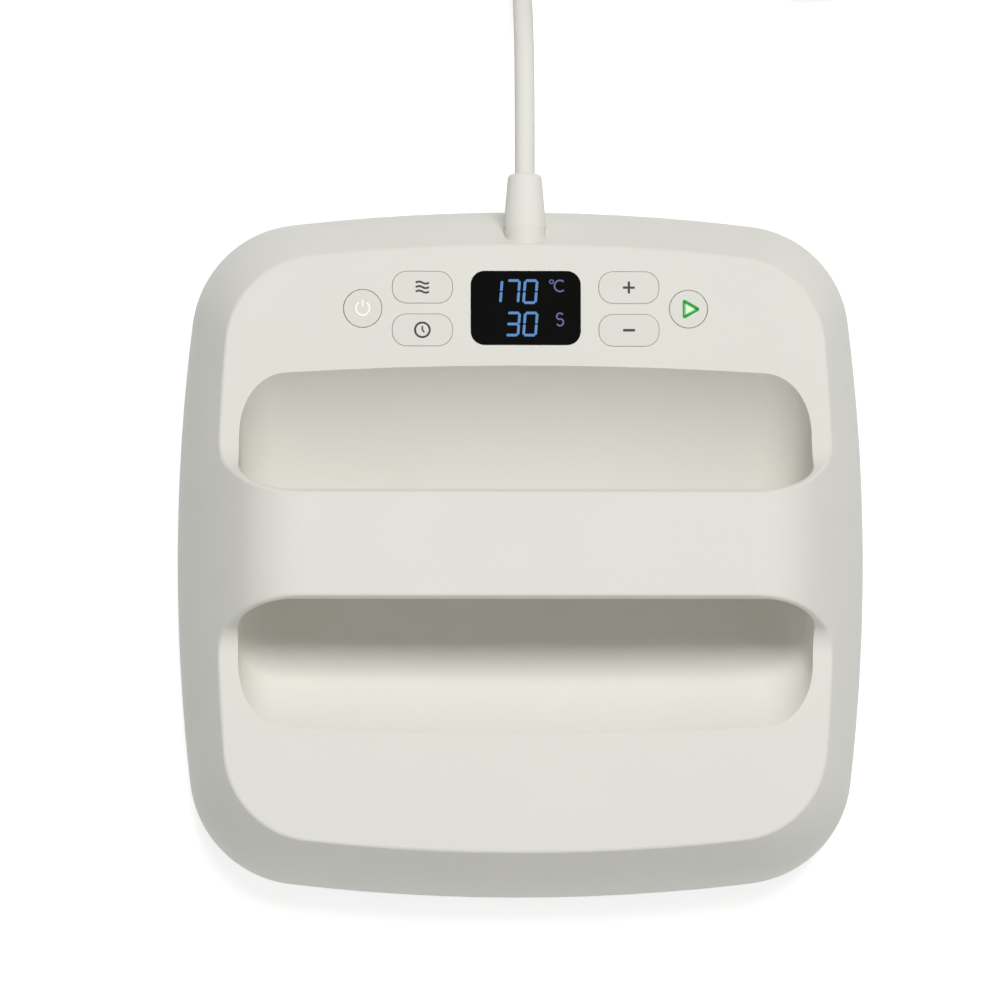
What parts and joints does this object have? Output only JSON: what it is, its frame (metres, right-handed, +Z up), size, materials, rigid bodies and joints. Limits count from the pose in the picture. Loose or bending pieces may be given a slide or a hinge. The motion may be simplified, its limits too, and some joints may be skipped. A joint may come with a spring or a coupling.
{
  "type": "handheld heat press",
  "caption": "Handheld square heat press with a domed plastic body, a bridge handle over a hand well, a sloped control panel and a flat heated plate.",
  "frame": {"origin": "middle of the heat plate's working face, which the press stands on", "axes": "+X to the right seen from the front, +Y to the rear where the cord leaves, +Z up"},
  "size_m": [0.2731, 0.4893, 0.116],
  "materials": {
    "shell": "fine satin",
    "keys": "satin",
    "frame": "fine texture",
    "plate_coating": "non-stick coating",
    "element_steel": "satin",
    "porcelain": "glazed ceramic",
    "blanket": "ceramic fibre",
    "shield_sheet": "mill finish",
    "steel": "zinc plated",
    "lens": "polished",
    "display": "satin",
    "led": "diffuse",
    "switch_black": "moulded",
    "circuit_board": "solder mask",
    "cord_rubber": "matte",
    "nickel": "nickel plated",
    "brass": "satin",
    "tie": "smooth",
    "terminal_plastic": "moulded",
    "core_brown": "smooth",
    "core_blue": "smooth",
    "core_green": "smooth",
    "lead_red": "smooth",
    "lead_glass": "glass fibre sleeve",
    "transformer_yellow": "tape",
    "relay_blue": "moulded",
    "glass_fuse": "clear",
    "ribbon_grey": "smooth"
  },
  "bodies": {
    "press": {"base_frame": "frame", "base_screws": "steel", "board_leads": "lead_red", "buzzer": "switch_black", "capacitors": "relay_blue", "clamp_screws": "steel", "control_board": "circuit_board", "control_board_screws": "steel", "cord_clamp": "switch_black", "cord_coil": "cord_rubber", "cord_jacket": "cord_rubber", "cord_tie": "tie", "cutoff_leads": "lead_glass", "display_lens": "lens", "display_module": "display", "earth_core": "core_green", "element_insulators": "porcelain", "element_leads": "lead_glass", "fuse": "glass_fuse", "hand_well": "shell", "handle_screws": "steel", "handle_underside": "shell", "heat_plate": "plate_coating", "heat_shield": "shield_sheet", "heating_element": "element_steel", "insulation_blanket": "blanket", "key_lights": "led", "key_switches": "switch_black", "live_core": "core_brown", "neutral_core": "core_blue", "plate_screws": "steel", "plate_spacers": "steel", "plug_body": "cord_rubber", "plug_earth_clips": "brass", "plug_pins": "nickel", "power_board": "circuit_board", "power_board_screws": "steel", "power_cord": "cord_rubber", "relay": "relay_blue", "ribbon_cable": "ribbon_grey", "ribbon_plugs": "switch_black", "sensor_lead": "lead_glass", "strain_relief": "cord_rubber", "temperature_sensor": "element_steel", "terminal_block": "terminal_plastic", "terminal_screws": "steel", "thermal_cutoff": "porcelain", "top_housing": "shell", "transformer": "transformer_yellow", "well_screws": "steel"},
    "power_key": {"power_button": "keys"},
    "start_key": {"start_button": "keys"},
    "temperature_key": {"temperature_button": "keys"},
    "timer_key": {"timer_button": "keys"},
    "plus_key": {"plus_button": "keys"},
    "minus_key": {"minus_button": "keys"}
  },
  "joints": [
    {"name": "power_key_slide", "type": "slide", "parent": "press", "child": "power_key", "axis": [0, -0.0436, -0.999], "range_m": [0, 0.0006], "stiffness_N_per_m": 3000},
    {"name": "start_key_slide", "type": "slide", "parent": "press", "child": "start_key", "axis": [0, -0.0436, -0.999], "range_m": [0, 0.0006], "stiffness_N_per_m": 3000},
    {"name": "temperature_key_slide", "type": "slide", "parent": "press", "child": "temperature_key", "axis": [0, -0.0436, -0.999], "range_m": [0, 0.0006], "stiffness_N_per_m": 3000},
    {"name": "timer_key_slide", "type": "slide", "parent": "press", "child": "timer_key", "axis": [0, -0.0436, -0.999], "range_m": [0, 0.0006], "stiffness_N_per_m": 3000},
    {"name": "plus_key_slide", "type": "slide", "parent": "press", "child": "plus_key", "axis": [0, -0.0436, -0.999], "range_m": [0, 0.0006], "stiffness_N_per_m": 3000},
    {"name": "minus_key_slide", "type": "slide", "parent": "press", "child": "minus_key", "axis": [0, -0.0436, -0.999], "range_m": [0, 0.0006], "stiffness_N_per_m": 3000}
  ]
}
